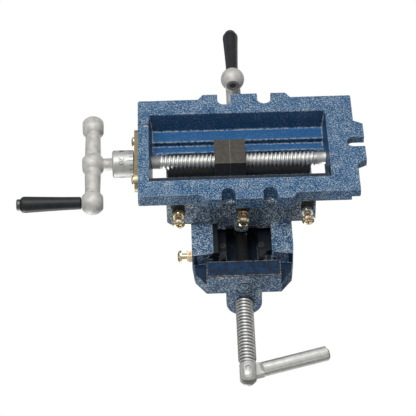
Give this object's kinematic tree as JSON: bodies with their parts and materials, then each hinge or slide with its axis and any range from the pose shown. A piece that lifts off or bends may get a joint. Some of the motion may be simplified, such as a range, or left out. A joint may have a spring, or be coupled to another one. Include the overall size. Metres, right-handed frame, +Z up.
{
  "type": "cross slide vise",
  "caption": "Cross slide vise with a slotted base, two crank-driven dovetail slides with graduated dials, and a jaw closed by a screw with a folding handle.",
  "frame": {"origin": "centre of the base outline on its bottom face", "axes": "+X along the base toward the lower crank, -Y toward the vise handle, +Z up from the base"},
  "size_m": [0.3407, 0.4222, 0.1194],
  "materials": {
    "blue_enamel": "hammertone",
    "crank_iron": "satin",
    "zinc_steel": "zinc plated",
    "yellow_zinc": "yellow zinc plated",
    "jaw_steel": "ground",
    "black_oxide": "black oxide",
    "grip_plastic": "satin"
  },
  "bodies": {
    "base": {"base_casting": "blue_enamel", "x_bearing_plate": "yellow_zinc", "x_plate_screws": "yellow_zinc"},
    "x_screw": {"x_lead_screw": "zinc_steel", "x_dial": "zinc_steel", "x_dial_set_screw": "black_oxide", "x_crank_arm": "crank_iron", "x_crank_pin": "zinc_steel", "x_grip_spindle": "zinc_steel"},
    "x_grip": {"x_grip": "grip_plastic"},
    "saddle": {"saddle": "blue_enamel", "x_nut": "black_oxide", "x_nut_bolt": "black_oxide", "x_gib": "jaw_steel", "x_gib_screws": "yellow_zinc", "x_gib_locknuts": "yellow_zinc", "y_nut": "black_oxide", "y_nut_bolts": "black_oxide"},
    "vise_body": {"vise_body": "blue_enamel", "y_bearing_plate": "yellow_zinc", "y_plate_screws": "yellow_zinc", "y_gib": "jaw_steel", "y_gib_screws": "yellow_zinc", "y_gib_locknuts": "yellow_zinc", "fixed_jaw_plate": "jaw_steel", "fixed_plate_screws": "black_oxide"},
    "y_screw": {"y_lead_screw": "zinc_steel", "y_dial": "zinc_steel", "y_dial_set_screw": "black_oxide", "y_crank_arm": "crank_iron", "y_crank_pin": "zinc_steel", "y_grip_spindle": "zinc_steel"},
    "y_grip": {"y_grip": "grip_plastic"},
    "movable_jaw": {"movable_jaw": "blue_enamel", "movable_jaw_plate": "jaw_steel", "movable_plate_screws": "black_oxide", "left_keeper": "jaw_steel", "right_keeper": "jaw_steel", "keeper_screws": "black_oxide", "screw_retainer": "zinc_steel", "retainer_screws": "black_oxide"},
    "vise_screw": {"vise_screw": "zinc_steel", "handle_pin": "zinc_steel"},
    "handle": {"folding_handle": "zinc_steel"}
  },
  "joints": [
    {"name": "saddle_slide", "type": "slide", "parent": "base", "child": "saddle", "axis": [1, 0, 0], "range_m": [-0.06, 0.028]},
    {"name": "x_screw_turn", "type": "hinge", "parent": "base", "child": "x_screw", "pos_m": [0, 0, 0.0212], "axis": [1, 0, 0], "range_deg": [-2700, 5580]},
    {"name": "x_grip_spin", "type": "hinge", "parent": "x_screw", "child": "x_grip", "pos_m": [0.1915, -0.04654, 0.02774], "axis": [1, 0, 0], "continuous": true},
    {"name": "body_slide", "type": "slide", "parent": "saddle", "child": "vise_body", "axis": [0, 1, 0], "range_m": [-0.024, 0.044]},
    {"name": "y_screw_turn", "type": "hinge", "parent": "vise_body", "child": "y_screw", "pos_m": [0.008, 0, 0.0605], "axis": [0, 1, 0], "range_deg": [-2340, 4140]},
    {"name": "y_grip_spin", "type": "hinge", "parent": "y_screw", "child": "y_grip", "pos_m": [0.00997, 0.1535, 0.01354], "axis": [0, 1, 0], "continuous": true},
    {"name": "jaw_slide", "type": "slide", "parent": "vise_body", "child": "movable_jaw", "axis": [0, 1, 0], "range_m": [-0.016, 0.06]},
    {"name": "vise_screw_turn", "type": "hinge", "parent": "movable_jaw", "child": "vise_screw", "pos_m": [0.008, 0, 0.0805], "axis": [0, 1, 0], "range_deg": [-1620, 5580]},
    {"name": "handle_fold", "type": "hinge", "parent": "vise_screw", "child": "handle", "pos_m": [0.008, -0.224, 0.0805], "axis": [0, 0, 1], "range_deg": [-4, 216]}
  ],
  "couplings": [
    {"joint": "x_screw_turn", "follows": "saddle_slide", "rad_per_m": -1570.8},
    {"joint": "y_screw_turn", "follows": "body_slide", "rad_per_m": 1570.8},
    {"joint": "vise_screw_turn", "follows": "jaw_slide", "rad_per_m": 1570.8}
  ]
}
